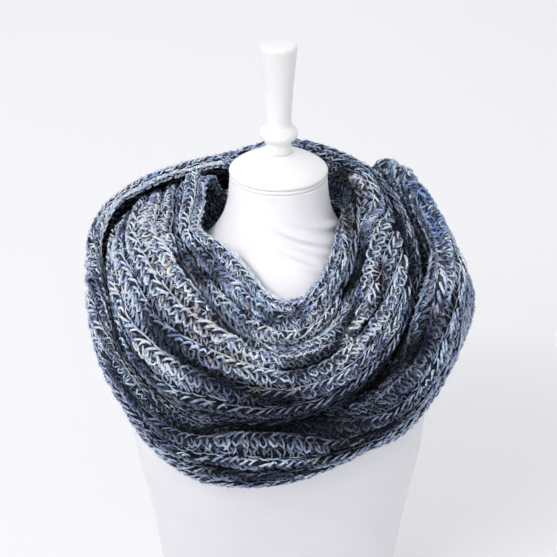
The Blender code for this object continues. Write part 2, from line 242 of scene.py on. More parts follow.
ROPE_SHARE = 0.35  # share of that, lighter, where one stands out
SLIP_AT, SLIP_REACH = 402, 17  # turn angles of the slip behind the roll
SLIP_DEPTH, SLIP_LINES = 11, 4  # its depth, and its reach in rib lines
# Degrees of turn that fade like one rib line, for folds and painted light patches; degrees for a
# dye
FOLD_DEGREES, PAINTED_LIGHT_DEGREES, DYE_DEGREES = 4.5, 7, 8


def nearness(turn, line, points, reach, degrees):
    """1 on a path of (turn angle, rib line) points, fading over its reach."""
    scale = np.array([1 / degrees, 1 / reach])
    turn, line = np.broadcast_arrays(turn, line)
    at = pack(turn, line) * scale
    points = np.array(points, float) * scale
    gap = np.full(turn.shape, np.inf)
    for a, b in zip(points, points[1:]):
        share = np.clip(((at - a) @ (b - a)) / ((b - a) @ (b - a)), 0, 1)
        gap = np.minimum(gap, norm(at - (a + share[..., None] * (b - a))))
    return np.exp(-gap**2)


def fold_depth(turn, line):
    return sum(depth * nearness(turn, line, points, reach, FOLD_DEGREES * reach)
               for depth, reach, *points in FOLDS)


def tucked_in(turn, line):
    """How far the lower turn's inner edge slips in behind the roll."""
    return (SLIP_DEPTH * np.exp(-((turn - SLIP_AT) / SLIP_REACH) ** 2)
            * np.clip(1 - line / SLIP_LINES, 0, 1))


def fabric_middle():
    turns = np.arange(GRID_START, GRID_STOP + GRID_STEP / 2, GRID_STEP)
    rows, wrap = np.array(SECTIONS, float), WRAPPED_ROWS
    keys = join(rows[-wrap:, 0] - LOOP, rows[:, 0], rows[:wrap, 0] + LOOP)
    rows = join(rows[-wrap:], rows, rows[:wrap])[:, 1:]
    sections = smooth_rows(turns, keys, rows).reshape(len(turns), -1, 2)
    lines = np.array([across_section(s, c, 2 * RIBS * PER_LINE + 1)
                      for s, c in zip(sections, crowding_at(turns))])
    angle = np.radians(turns)[:, None]
    radius, height = lines[..., 0], lines[..., 1]
    return turns, pack(radius * np.sin(angle), -radius * np.cos(angle), height)


def directions():
    """Directions across and out of the cloth, and the width of a rib line."""
    along, across = np.gradient(MIDDLE, axis=0), np.gradient(MIDDLE, axis=1)
    return unit(across), unit(np.cross(along, across)), norm(across) * PER_LINE


TURNS, MIDDLE = fabric_middle()
LINES = np.arange(MIDDLE.shape[1]) / PER_LINE
OUT = directions()[1]
# folded, and slipped level towards the neck
everywhere = TURNS[:, None], LINES[None, :]
MIDDLE = (MIDDLE + OUT * fold_depth(*everywhere)[..., None]
          + unit(MIDDLE * (-1, -1, 0)) * tucked_in(*everywhere)[..., None])
ACROSS, OUT, LINE_WIDTH = directions()


def sample(field, turn, line):
    """Bilinear value of a grid field."""
    a = np.clip((turn - GRID_START) / GRID_STEP, 0, len(TURNS) - 1.001)
    b = np.clip(line * PER_LINE, 0, field.shape[1] - 1.001)
    i, j = a.astype(int), b.astype(int)
    a, b = a - i, b - j
    if field.ndim == 3:
        a, b = a[..., None], b[..., None]
    return ((field[i, j] * (1 - a) + field[i + 1, j] * a) * (1 - b)
            + (field[i, j + 1] * (1 - a) + field[i + 1, j + 1] * a) * b)


def ridge(offset):
    """Height of a rib at `offset` rib lines from its crest."""
    return RIB_DEPTH * (1 - 2 * np.abs(offset) ** RIB_CURVE)


def run_along(line, lift):
    """Length along the loop at one rib line, at every grid turn angle."""
    at = np.full(len(TURNS), float(line))
    return travelled(sample(MIDDLE, TURNS, at) + lift * sample(OUT, TURNS, at))


# ---- meshes
def make_object(name, points, quads, tris, material, uv=None, **fields):
    """A smooth mesh object; the fields are values or vectors at its points."""
    mesh = bpy.data.meshes.new(name)
    quads, tris = np.reshape(quads, (-1, 4)), np.reshape(tris, (-1, 3))
    corners = join(quads.ravel(), tris.ravel()).astype(np.int32)
    starts = join(4 * np.arange(len(quads)), 4 * len(quads) + 3 * np.arange(len(tris)))
    mesh.vertices.add(len(points))
    mesh.vertices.foreach_set("co", (np.asarray(points) * MM).astype(np.float32).ravel())
    mesh.loops.add(len(corners))
    mesh.loops.foreach_set("vertex_index", corners)
    mesh.polygons.add(len(starts))
    mesh.polygons.foreach_set("loop_start", starts.astype(np.int32))
    mesh.polygons.foreach_set("use_smooth", np.full(len(starts), True))
    mesh.update(calc_edges=True)
    for title, values in fields.items():
        vector = values.size == 3 * len(points)
        layer = mesh.attributes.new(title, "FLOAT_VECTOR" if vector else "FLOAT", "POINT")
        layer.data.foreach_set("vector" if vector else "value", values.astype(np.float32).ravel())
    if uv is not None:
        layer = mesh.uv_layers.new(name="OFBake")
        layer.data.foreach_set("uv", uv.astype(np.float32).ravel())
    mesh.materials.append(material)
    body = bpy.data.objects.new(name, mesh)
    scene.collection.objects.link(body)
    return body


def grid_quads(n, m, start=0, flip=False, closed=False):
    """Faces of a grid of n rows of m points; each row of a closed one is a ring."""
    i, j = np.meshgrid(np.arange(n - 1), np.arange(m if closed else m - 1), indexing="ij")
    k = (j + 1) % m
    quads = pack(i * m + j, (i + 1) * m + j, (i + 1) * m + k, i * m + k)
    quads = quads.reshape(-1, 4) + start
    return quads[:, ::-1] if flip else quads


def end_fans(n, m):
    """Triangles that close n rings of m points with the two points listed after them."""
    j, k = np.arange(m), (np.arange(m) + 1) % m
    low, top = np.full(m, n * m), (n - 1) * m
    return join(pack(low, k, j), pack(low + 1, top + j, top + k))


def closed_form(name, rings, low, high, material):
    """A closed body of level rings with its lowest and highest points on the axis."""
    n, m = rings.shape[:2]
    points = join(rings.reshape(-1, 3), [[0, 0, low]], [[0, 0, high]])
    return make_object(name, points, grid_quads(n, m, closed=True, flip=True), end_fans(n, m),
                       material)


# ---- fabric shells
SHELL_STEP = 2.5  # degrees between shell rows
SHELL_OUT = 0.4  # its faces' distance from the ribbed middle
GROUND_ROW, GROUND_SHIFT = 6.3, 2  # its rib lines' place in the dyes' noise


def shell(name, start, stop, first, last, material):
    """Thin ribbed shell under the crochet."""
    count = int(round((stop - start) / SHELL_STEP)) + 1
    turn = np.linspace(start, stop, count)
    line = np.linspace(first, last, (last - first) * PER_LINE + 1)
    t, v = np.meshgrid(turn, line, indexing="ij")
    middle, out = sample(MIDDLE, t, v), sample(OUT, t, v)
    off_crest = v % 2 - 1  # 0 on the crests of each side
    off_valley = (v + 1) % 2 - 1
    outer = middle + out * (ridge(off_crest) + SHELL_OUT)[..., None]
    inner = middle - out * (ridge(off_valley) + SHELL_OUT)[..., None]
    n, m = t.shape
    half = n * m
    index = np.arange(half).reshape(n, m)
    edge = lambda at: pack(at[:-1], at[1:], at[1:] + half, at[:-1] + half)
    quads = join(grid_quads(n, m), grid_quads(n, m, half, flip=True),
                 edge(index[:, 0])[:, ::-1], edge(index[:, -1]), edge(index[0]),
                 edge(index[-1])[:, ::-1])
    run, shade = sample(RUN, t, v), painted_shade(t, v)
    yarn = pack(run, v * GROUND_ROW + GROUND_SHIFT, 0 * run)
    # the shell's lift and shade attributes set its painted shade in the material
    body = make_object(name, join(outer, inner).reshape(-1, 3), quads, [], material,
                       yarn=join(yarn, yarn), lift=join(off_crest, off_valley),
                       shade=join(shade, shade))
    area = norm(np.cross(np.diff(middle, axis=0)[:, :-1], np.diff(middle, axis=1)[:-1]))
    return body, area.sum() * MM**2


# ---- crochet
YARN = 1.28  # radius of the yarn
BRAID_REACH = 7.4  # most that a braid reaches from its crest
BRAID_LIFT = 0.3  # its height over the shell, in radii
FULL_REACH = 7  # with this reach its yarn is of full thickness
THICKNESS = (0.72, 1.06)  # least and most of that in other braids
SKEW = 0.22  # how much a strand leans out of line, stitches
JITTER = (0.12, 0.13, 0.36, 0.13)  # uneven place along and across, lift and thickness
VALLEY_JITTER = 1.5  # the filling loops are this much less even
SLACK, SLACK_SPREAD, SLACK_RANGE = 0.45, 0.6, (-0.3, 1.3)  # how loosely loops are worked
ROOM = {"face": 0.62, "valley": 0.46, "edge": 0}  # most reach of a row, in rib lines
EDGE_LINE, EDGE_ROOM = 0.55, 0.36  # of the row behind an edge: rib lines to it, and reach
EDGE_RADIUS = 2.2  # the finished edges wrap round this radius
EDGE_WRAP, WRAP_MOST = 80, 1.2  # degrees round it to each side, and most share of that
ROW_SHIFT = 11.7  # from row to row in the dyes' noise
TIP = 0.8  # how far a strand's tip stands out, in its radii
CELL_PAD = 0.12  # margin of a strand's cell of the bake map

# Points of each strand of a stitch: along the row (stitches), out from the crest (share
# of the braid's half width), lift, radius (share of the yarn's)
HOOK = np.array((  # a loop's curled leg
    (-0.44, 0.05, -1.1, 0.74), (-0.16, 0.62, 0.9, 1.06), (0.2, 0.98, 1.3, 1.12),
    (0.52, 0.82, 0.9, 1.04), (0.54, 0.3, -0.6, 0.8),
))
LEG = np.array((  # the loop's straighter leg
    (-0.44, 0.02, -1, 0.72), (-0.1, -0.4, 1.1, 1.08), (0.36, -0.76, 1.3, 1.1),
    (0.74, -0.92, 0.6, 0.98), (0.96, -0.96, -0.9, 0.74),
))
CURL = np.array((  # what a loosely worked leg gains
    (0, 0, 0, 0), (0, 0.22, 0.1, 0), (-0.04, 0.2, 0.2, 0),
    (-0.2, -0.14, 0.2, 0), (-0.34, -0.52, 0.1, 0),
))
UNDER = np.array((  # the strand that shows between the loops
    (-0.05, -0.2, -0.7, 0.85), (0.22, 0.22, 0.2, 1), (0.42, 0.7, -0.7, 0.8),
))
CORD = np.array((  # a link of the thin cord beside the braid
    (-0.34, -1.26, -0.1, 0.5), (0.15, -1.18, 0.9, 0.66), (0.75, -1.2, 0.8, 0.64),
    (1.2, -1.3, -0.2, 0.42),
))
POST = np.array((  # a strand that crosses the valley
    (0.16, 1, -0.6, 0.58), (0.24, 1.3, 0.6, 0.72), (0.1, 1.62, 0.4, 0.7),
    (0.02, 1.84, -0.6, 0.52),
))
FILL = (np.array((  # two loops that fill the valley
    (-0.4, -0.95, -0.6, 0.7), (-0.1, -0.45, 0.6, 0.96), (0.16, 0.15, 0.5, 0.96),
    (0.2, 0.8, -0.6, 0.72),
)), np.array((
    (0.16, -0.85, -0.7, 0.68), (0.46, -0.3, 0.4, 0.92), (0.62, 0.35, 0.3, 0.92),
    (0.54, 0.95, -0.7, 0.68),
)))
# the valley loops are also painted darker, as shade, through their lower lift
SINK = 0.7  # how much lower these loops lie
STRANDS = {"face": (HOOK, LEG, UNDER, CORD, POST), "valley": FILL, "edge": (HOOK, LEG, CORD)}

# Dyes of the yarn: which (0 pale, 1 denim, 2 brown), reach in rib lines, strength, then
# (turn angle, rib line) points
DYES = (
    (0, 1, 0.2, (-92, 13.6), (-62, 13.2), (-48, 13.3), (-39, 14.2), (-30, 15.2), (-8, 16.2)),
    (0, 1.2, 0.16, (-14, 8), (1, 5), (15, 4), (31, 4), (48, 6), (57, 7)),
    (0, 1, 0.16, (334, 7.8), (350, 10), (368, 10.2), (382, 9.8)),
    (0, 1.1, 0.12, (268, 1.2), (255, 1.5), (240, 0.5)),
    (0, 0.8, 0.24, (-50, 0), (-20, 0), (6, 0)),
    (0, 2.2, 0.12, (-100, 10), (-80, 9.5), (-66, 9)),
    (1, 1.6, 0.24, (464, 5.5), (456, 5.8), (447, 5.8)),
    (1, 1.3, 0.18, (-53, 14.5), (-45, 14.8)),
    (1, 1.5, 0.16, (300, 9), (312, 10.5)),
    (2, 2.4, 0.12, (-89, 8.2), (-66, 7.5), (-51, 8), (-36, 9.2), (-23, 11.2), (8, 12.5)),
    (2, 1.6, 0.16, (109, 4), (84, 2.5), (62, 2.2), (49, 2.2)),
    (2, 1.5, 0.12, (20, 11), (45, 10), (60, 9)),
)


def dye(turn, line):
    """How much more of each dye the yarn takes along one rib line."""
    total = np.zeros(turn.shape + (3,))
    for kind, reach, strength, *points in DYES:
        more = strength * nearness(turn, float(line), points, reach, DYE_DEGREES)
        total[..., kind] = np.maximum(total[..., kind], more)
    return total


# Broad painted light and shade on the yarn, darker for shadow in hollows, lighter where light
# falls: doublings lighter, reach in rib lines, then (turn angle, rib line) points
PAINTED_LIGHT_AND_SHADE = (
    (-3.6, 2.7, (-20, 17.3), (5, 17.5), (36, 18)),  # under the front roll
    (-1.5, 1.6, (-104, 4.6), (-84, 4.4)),  # behind the collar
    (1, 2.2, (-104, 0.6), (-82, 0.8)),
    (0.7, 2, (-48, 2.6), (-36, 3.2)),
    (0.7, 1.6, (-100, 7.2), (-60, 8.2)),
    (0.8, 2, (-8, 10), (16, 7.8), (26, 6)),
    (0.4, 2, (56, 8), (72, 6.4)),
    (-1.3, 1.4, (46, 5), (60, 6.4)),
    (-0.9, 1.3, (-44, 7), (-24, 8.4)),
    (-1.5, 1.8, (70, 1.9), (100, 2.5), (124, 3.6)),  # inside the neck
    (0.8, 2.4, (240, 0.5), (262, 0.5)),
    (1.3, 2, (298, 7.6), (310, 7.8)),
    (-0.7, 2.6, (324, 10.4), (348, 10.2)),
    (-3, 1.6, (340, 7.8), (360, 8.6), (376, 8.2)),  # below the roll
    (0.7, 1.4, (-30, 15), (-20, 15.4)),
    (1, 2.4, (28, 14.6), (56, 14.2)),
    (0.5, 1.6, (8, 3.6), (34, 4.6)),
    (1, 2, (284, 5.6), (306, 7.6)),
    (-0.9, 1.2, (308, 8.8), (322, 7.4), (336, 8)),
    (-1, 1.3, (342, 13.4), (352, 14.4)),
    (-1.5, 3, (376, 6.6), (392, 5.6), (406, 4.2)),
    (-0.6, 1.8, (380, 10.2), (386, 10)),
    (-0.3, 2.4, (400, 9), (428, 8)),
    (0.6, 1.8, (428, 6.4), (456, 5.6)),
)


def painted_shade(turn, line):
    """Painted shade of the yarn in doublings, from the folds' depth and the painted patches."""
    depth = fold_depth(turn, line)
    total = -FOLD_SHADE * np.where(depth > 0, depth, ROPE_SHARE * depth)
    for amount, reach, *points in PAINTED_LIGHT_AND_SHADE:
        total += amount * nearness(turn, line, points, reach, PAINTED_LIGHT_DEGREES * reach)
    return total


def row_paths(row, shape, steps, jitter):
    """Paths of one kind of strand for the stitches `steps` of a row."""
    kind, side, line = row["kind"], row["side"], row["line"]
    slide, spread, raised, thick, chance, lean, slack = (some[:, None] for some in jitter)
    along = steps[:, None] + shape[:, 0] + slide
    across = shape[:, 1] + np.zeros((len(steps), 1))
    if len(shape) == len(CURL):
        loose = np.clip(SLACK + SLACK_SPREAD * slack, *SLACK_RANGE)
        along = along + loose * CURL[:, 0]
        across = across + loose * CURL[:, 1] * np.sign(shape[2, 1])
    share = across * (1 + spread)
    # this level is also the strand's lift, from which the material paints lower strands darker as
    # shade
    level = shape[:, 2] - (SINK if kind == "valley" else 0)
    lift = level + raised
    run = (along + SKEW * lean * across) * row["pitch"]
    turn = np.interp(run, row["run"], TURNS)
    radius = shape[:, 3] * YARN * (1 + thick)
    at = np.full_like(turn, float(line))
    if kind == "edge":
        outward = -1 if line == 0 else 1
        phi = np.clip(share, -WRAP_MOST, WRAP_MOST) * np.radians(EDGE_WRAP)
        out = sample(OUT, turn, at)
        normal = (sample(ACROSS, turn, at) * (outward * np.cos(phi))[..., None]
                  + out * np.sin(phi)[..., None])
        points = (sample(MIDDLE, turn, at) - out * (RIB_DEPTH * 0.5)
                  + normal * (EDGE_RADIUS + lift)[..., None])
    else:
        width = sample(LINE_WIDTH, turn, at)
        reach = np.minimum(row["room"], BRAID_REACH / width)
        at = line + share * reach
        normal = side * sample(OUT, turn, at)
        crest = 1 if side > 0 else 0
        height = ridge((at - crest + 1) % 2 - 1) + SHELL_OUT + lift + YARN * BRAID_LIFT
        points = sample(MIDDLE, turn, at) + normal * height[..., None]
        radius = radius * np.clip(width * reach / FULL_REACH, *THICKNESS)
    yarn = pack(*np.broadcast_arrays(run, row["number"] * ROW_SHIFT, chance))
    return {"points": points, "normal": normal, "radius": radius, "yarn": yarn,
            "lift": np.broadcast_to(level, run.shape), "dye": dye(turn, line),
            "shade": painted_shade(turn, at)}


def tube_mesh(part, at, cell, grid):
    """Closed tubes round the paths, each with a cell of the bake map."""
    points, normal, radius, sides = (part[k] for k in ("points", "normal", "radius", "sides"))
    t, k = points.shape[:2]
    tangent = unit(np.gradient(points, axis=1))
    bitangent = unit(np.cross(tangent, normal))
    normal = np.cross(bitangent, tangent)
    theta = np.arange(sides) * 2 * np.pi / sides
    circle = pack(np.cos(theta), np.sin(theta))
    ring = normal[:, :, None] * circle[:, :1] + bitangent[:, :, None] * circle[:, 1:]
    rings = points[:, :, None] + ring * radius[:, :, None, None]
    tips = np.stack([points[:, 0] - tangent[:, 0] * radius[:, :1] * TIP,
                     points[:, -1] + tangent[:, -1] * radius[:, -1:] * TIP], axis=1)
    verts = join(rings.reshape(t, -1, 3), tips, axis=1)
    a, b = np.meshgrid(np.arange(k - 1), np.arange(sides), indexing="ij")
    c = (b + 1) % sides
    quad = pack(a * sides + b, a * sides + c, (a + 1) * sides + c, (a + 1) * sides + b)
    base = at + (np.arange(t) * verts.shape[1])[:, None, None]

    # the bake map: along the strand and round it, in one cell of a square grid
    number = cell + np.arange(t)
    col, row = number % grid, number // grid
    inside = 1 - 2 * CELL_PAD
    long = lambda x: CELL_PAD + inside * x / (k - 1)
    place = lambda u, v: pack(
        (col[:, None] + CELL_PAD + inside * u.reshape(1, -1)) / grid,
        (row[:, None] + CELL_PAD + inside * (v.reshape(1, -1) / sides)) / grid).reshape(-1, 2)
    quad_uv = place(long(pack(a, a, a + 1, a + 1)), pack(b, b + 1, b + 1, b))
    j = np.arange(sides)
    ends = [[0, long(0), long(0)]] * sides + [[1, long(k - 1), long(k - 1)]] * sides
    tri_uv = place(np.array(ends), join(pack(j + 0.5, j + 1, j), pack(j + 0.5, j, j + 1)))

    def spread(values):
        """A path's values at every point round it, and at its tips."""
        both = join(np.repeat(values, sides, axis=1), values[:, :1], values[:, -1:], axis=1)
        return both.reshape(-1, *values.shape[2:])

    length = travelled(points.swapaxes(0, 1)).T
    twist = spread(pack(0 * length, 0 * length, length)).reshape(t, -1, 3)
    twist[:, :-2, :2] = np.tile(circle, (k, 1))
    return (verts.reshape(-1, 3), (quad.reshape(-1, 4) + base).reshape(-1, 4),
            (end_fans(k, sides) + base).reshape(-1, 3), spread(part["yarn"]),
            spread(part["lift"]), spread(part["dye"]), spread(part["shade"]),
            twist.reshape(-1, 3), quad_uv, tri_uv)


def join_tubes(name, parts, material):
    """One object from several sets of tubes."""
    grid = max(1, math.ceil(math.sqrt(sum(len(p["points"]) for p in parts))))
    made, at, cell = [], 0, 0
    for part in parts:
        made.append(tube_mesh(part, at, cell, grid))
        at, cell = at + len(made[-1][0]), cell + len(part["points"])
    points, quads, tris, yarn, lift, dyes, shade, twist, *uv = map(np.concatenate, zip(*made))
    return make_object(name, points, quads, tris, material, np.concatenate(uv), yarn=yarn,
                       lift=lift, dye=dyes, shade=shade, twist=twist)


STITCHES = 252  # in every row of the loop
RUN = travelled(MIDDLE)
LOOK_OUT = 4.5  # height above a stitch from which it is looked at
LOOKS = 36  # directions tried
SEEN_AT_ALL, SEEN_WELL = 2, 10  # open directions of a made stitch, and of a fine one
OPEN_SKY = 500  # a direction is open if nothing is nearer
HAIR_FIELDS = ("points", "normal", "yarn", "dye", "shade")  # what a loose fibre takes over


def crochet_rows():
    """Rows of stitches: kind, side of the cloth, rib line, and room to each side of it."""
    rows = [(kind, side, line, ROOM[kind])
            for kind, side, first in (("face", 1, 1), ("face", -1, 2), ("valley", 1, 2),
                                      ("valley", -1, 1))
            for line in range(first, 2 * RIBS, 2)]
    rows += [("face", -1, line, EDGE_ROOM) for line in (EDGE_LINE, 2 * RIBS - EDGE_LINE)]
    rows += [("edge", 1, line, ROOM["edge"]) for line in (0, 2 * RIBS)]
    made = []
    for number, (kind, side, line, room) in enumerate(rows):
        run = run_along(line, {"face": 1, "valley": -1, "edge": 0}[kind] * RIB_DEPTH * side)
        begin, end = np.interp((STRETCHES[0][1], STRETCHES[0][1] + LOOP), TURNS, run)
        pitch = (end - begin) / STITCHES
        steps = begin / pitch + np.arange(STITCHES) + 0.5
        made.append(dict(kind=kind, side=side, line=line, room=room, number=number, run=run,
                         pitch=pitch, steps=steps, turn=np.interp(steps * pitch, run, TURNS)))
    return made


def hemisphere(count):
    """Evenly spread directions on the upper side."""
    k = np.arange(count) + 0.5
    z = 1 - k / count
    phi = k * np.pi * (1 + 5**0.5)
    r = np.sqrt(1 - z * z)
    return pack(r * np.cos(phi), r * np.sin(phi), z)


def how_open(tree, points, normals):
    """In how many of the directions each point sees open space."""
    sky = hemisphere(LOOKS)
    helper = np.where(np.abs(normals[:, [2]]) < 0.9, [0, 0, 1], [1, 0, 0])
    u = unit(np.cross(helper, normals))
    v = np.cross(normals, u)
    rays = sum(sky[:, [i]] * way[:, None] for i, way in enumerate((u, v, normals)))
    return np.array([sum(tree.ray_cast(Vector(point), Vector(ray), OPEN_SKY)[0] is None
                         for ray in fan) for point, fan in zip(points.tolist(), rays.tolist())])


def crochet(tree, material):
    """The yarn of every stretch, where it can be seen."""
    parts = {name: [] for name, *_ in STRETCHES}
    spots = []
    for row in crochet_rows():
        kind, turn, line = row["kind"], row["turn"], row["line"]
        at = np.full(STITCHES, float(line))
        out = sample(OUT, turn, at) * row["side"]
        if kind == "edge":
            out = sample(ACROSS, turn, at) * (-1 if line == 0 else 1)
        seen = how_open(tree, sample(MIDDLE, turn, at) + out * (RIB_DEPTH + LOOK_OUT), unit(out))
        for name, start, stop, first, last in STRETCHES:
            mine = ((turn >= start) & (turn < stop) & (line >= first)
                    & (line < last or last == 2 * RIBS))
            for fine in (True, False):
                pick = mine & (seen >= SEEN_AT_ALL) & ((seen >= SEEN_WELL) == fine)
                if not pick.any():
                    continue
                steps, m = row["steps"][pick], pick.sum()
                for shape in STRANDS[kind]:
                    loose = VALLEY_JITTER if kind == "valley" else 1
                    jitter = [rng.normal(0, s * loose, m) for s in JITTER]
                    jitter += [rng.random(m), rng.normal(0, 1, m), rng.normal(0, 1, m)]
                    if not fine:
                        shape = shape[[0, 2, -1]]
                    part = row_paths(row, shape, steps, jitter)
                    part["sides"] = 4 if fine else 3
                    parts[name].append(part)
                    if fine:
                        spots.append([part[k][:, 1] for k in HAIR_FIELDS])
    pieces = {name: join_tubes("crochet_" + name, some, material) for name, some in parts.items()}
    return pieces, [np.concatenate(x) for x in zip(*spots)]


# ---- materials
class Graph:
    """A short way to write a node material."""

    def __init__(self, name, **constants):
        self.material = bpy.data.materials.new(name)
        self.material.use_nodes = True
        self.tree = self.material.node_tree
        self.shader = self.tree.nodes["Principled BSDF"]
        for title, value in constants.items():
            self.shader.inputs[title.replace("_", " ")].default_value = value

    def add(self, kind, inputs=(), **settings):
        node = self.tree.nodes.new("ShaderNode" + kind)
        for key, value in settings.items():
            setattr(node, key, value)
        for key, value in dict(inputs).items():
            if isinstance(value, bpy.types.NodeSocket):
                self.tree.links.new(value, node.inputs[key])
            else:
                node.inputs[key].default_value = value
        return node

    def math(self, operation, a, b=0):
        return self.add("Math", {0: a, 1: b}, operation=operation).outputs[0]

    def product(self, a, b):
        return self.math("MULTIPLY", a, b)

    def total(self, a, b):
        return self.math("ADD", a, b)

    def attribute(self, title, output="Fac"):
        return self.add("Attribute", attribute_name=title).outputs[output]

    def spot(self):
        return self.add("TexCoord").outputs["Object"]

    def noise(self, vector, scale, detail=2, rough=0.5):
        return self.add("TexNoise", {"Vector": vector, "Scale": scale, "Detail": detail,
                                     "Roughness": rough}).outputs["Fac"]

    def ramp(self, factor, stops):
        """Colours, or greys given as one number, between (place, colour) stops."""
        node = self.add("ValToRGB", {"Fac": factor})
        bar = node.color_ramp
        while len(bar.elements) < len(stops):
            bar.elements.new(0.5)
        for element, (place, colour) in zip(bar.elements, stops):
            element.position, element.color = place, (*np.broadcast_to(colour, 3), 1)
        return node.outputs["Color"]

    def mix(self, factor, a, b, blend="MIX"):
        """Two colours, each a socket or a tuple."""
        a, b = ((*x, 1) if isinstance(x, tuple) else x for x in (a, b))
        return self.add("Mix", {0: factor, 6: a, 7: b}, data_type="RGBA",
                        blend_type=blend).outputs[2]

    def times(self, a, b):
        return self.mix(1, a, b, "MULTIPLY")

    def colour(self, socket):
        self.tree.links.new(socket, self.shader.inputs["Base Color"])

    def bump(self, height, strength, distance, **under):
        inputs = {"Height": height, "Strength": strength, "Distance": distance, **under}
        normal = self.add("Bump", inputs).outputs[0]
        self.tree.links.new(normal, self.shader.inputs["Normal"])
        return normal


INK, NAVY, SLATE = (0.026, 0.03, 0.052), (0.085, 0.098, 0.165), (0.19, 0.222, 0.34)
STEEL, DUSK = (0.35, 0.405, 0.57), (0.48, 0.54, 0.7)
DENIM, TEAL = (0.13, 0.2, 0.39), (0.3, 0.4, 0.52)
ICE, SNOW = (0.6, 0.67, 0.83), (0.84, 0.87, 0.93)
BROWN = (0.37, 0.338, 0.32)
PALE = (0.93, 0.925, 0.94)
PLY_LENGTH = 5.5  # along the yarn for one turn of its twist
PLY_TONE, PLY_RISE = 0.09, 0.6  # how much a ply shows in colour and relief
# BRIGHTEST caps the painted light; DARK_BLUE makes the painted shade bluer
BRIGHTEST = 0.8  # most doublings by which a patch lightens
DARK_BLUE = -0.05  # doublings of blue per doubling of dark
LOOP_DEPTH = 3  # relief of the loops painted on the ground


def yarn_material(name, deep, high):
    """Variegated wool, with painted shade at the strands' undersides and at their tops."""
    g = Graph(name, Roughness=0.82, Sheen_Weight=0.05, Sheen_Roughness=0.5,
              Sheen_Tint=(0.7, 0.78, 0.95, 1), Specular_IOR_Level=0.08)
    ground = name != "wool"

    def parts_of(title):
        return g.add("SeparateXYZ", {0: g.attribute(title, "Vector")}).outputs

    along, row, chance = parts_of("yarn")
    more_pale, more_denim, more_brown = parts_of("dye")

    def layer(by_length, by_row, by_strand, shift, detail=2, rough=0.6):
        """Noise that changes along the yarn, from row to row and from strand to strand."""
        place = g.add("CombineXYZ", {
            0: g.product(along, by_length),
            1: g.total(g.product(row, by_row), shift),
            2: g.product(chance, by_strand)}).outputs[0]
        return g.noise(place, 1, detail, rough)

    def dyed(base, colour, more, low, high, *numbers):
        """The base with one dye where its noise is above a threshold."""
        share = g.add("MapRange", {0: g.total(layer(*numbers), more), 1: low, 2: high},
                      interpolation_type="SMOOTHSTEP").outputs[0]
        return g.mix(share, base, colour)

    base = g.ramp(layer(0.016, 0.9, 0, 0, 3),
                  ((0.27, INK), (0.33, NAVY), (0.4, SLATE), (0.48, STEEL),
                   (0.55, TEAL), (0.63, SLATE), (0.73, DUSK)))
    base = dyed(base, DENIM, more_denim, 0.6, 0.74, 0.03, 1.1, 0.6, 260)
    base = dyed(base, BROWN, more_brown, 0.58, 0.74, 0.04, 1.3, 2, 210)
    base = g.times(base, g.ramp(layer(0.09, 1.7, 2.6, 31, 2, 0.7),
                                ((0.3, 0.6), (0.48, 0.92), (0.68, 1.2))))
    base = dyed(base, ICE, more_pale, 0.6, 0.84, 0.055, 2.3, 3.1, 77, 3)
    base = dyed(base, SNOW, more_pale, 0.72, 0.88, 0.075, 3.1, 4.2, 140, 3, 0.65)
    # two plies, and fine fibres
    cosine, sine, length = parts_of("twist")
    phase = g.product(length, 2 * math.pi / PLY_LENGTH)
    ply = g.total(g.product(cosine, g.math("COSINE", phase)),
                 g.product(sine, g.math("SINE", phase)))
    spot = g.spot()
    scale, dull, bright = (500, 0.25, 2) if ground else (800, 0.6, 1.4)
    fibre = g.noise(spot, scale, 3, 0.7)
    base = g.times(base, g.ramp(g.total(fibre, g.product(ply, PLY_TONE)),
                                ((0.34, dull), (0.64, bright))))
    height = g.total(g.noise(spot, 1300, 3, 0.7), g.product(ply, PLY_RISE))
    if ground:  # the loops under the worked ones, about 5 by 3 mm
        loops = g.add("TexVoronoi", {
            "Vector": g.add("CombineXYZ", {
                0: g.total(g.product(along, 0.2), g.product(row, 0.45)),
                1: g.product(row, 0.62)}).outputs[0],
            "Scale": 1}).outputs["Distance"]
        # painted shade in the gaps between these loops and painted light on their middles
        base = g.times(base, g.ramp(loops, ((0.1, 1.9), (0.34, 1), (0.58, 0.12))))
        height = g.math("SUBTRACT", height, g.product(loops, LOOP_DEPTH))
    # painted shade: darker where the lift attribute is low, such as strands that dip under
    level = g.add("MapRange", {0: g.attribute("lift"), 1: -1, 2: 1.3, 3: deep,
                               4: high}).outputs[0]
    # painted light and shade from the shade attribute; the ground shell takes twice the painted
    # light, and the painted shade is tinted bluer
    shade = g.attribute("shade")
    light = g.math("MINIMUM", g.math("MAXIMUM", shade, 0), BRIGHTEST)
    dark = g.math("MINIMUM", shade, 0)
    shade = g.total(dark, g.product(light, 2 if ground else 1))
    level = g.product(level, g.math("POWER", 2, shade))
    bluer = g.product(level, g.math("POWER", 2, g.product(dark, DARK_BLUE)))
    tint = g.add("CombineColor", {0: level, 1: level, 2: bluer}).outputs[0]
    g.colour(g.mix(1, g.times(base, tint), (0.8, 0.83, 0.9), "DARKEN"))
    g.bump(height, *((1, 0.0016) if ground else (0.8, 0.0009)))
    return g.material


def jersey_material():
    """Fine white stretch knit."""
    g = Graph("white_jersey", Roughness=0.72, Sheen_Weight=0.25, Sheen_Roughness=0.4)
    spot = g.spot()
    g.colour(g.ramp(g.noise(spot, 9, 4, 0.6),
                    ((0.3, (0.8, 0.79, 0.83)), (0.7, (0.86, 0.85, 0.88)))))
    ribs = g.add("TexWave", {"Vector": spot, "Scale": 260, "Distortion": 1.5, "Detail": 2,
                             "Detail Scale": 3}, bands_direction="Z")
    g.bump(g.noise(spot, 1500, 2, 0.6), 0.25, 0.0003,
           Normal=g.bump(ribs.outputs["Fac"], 0.12, 0.0002))
    return g.material


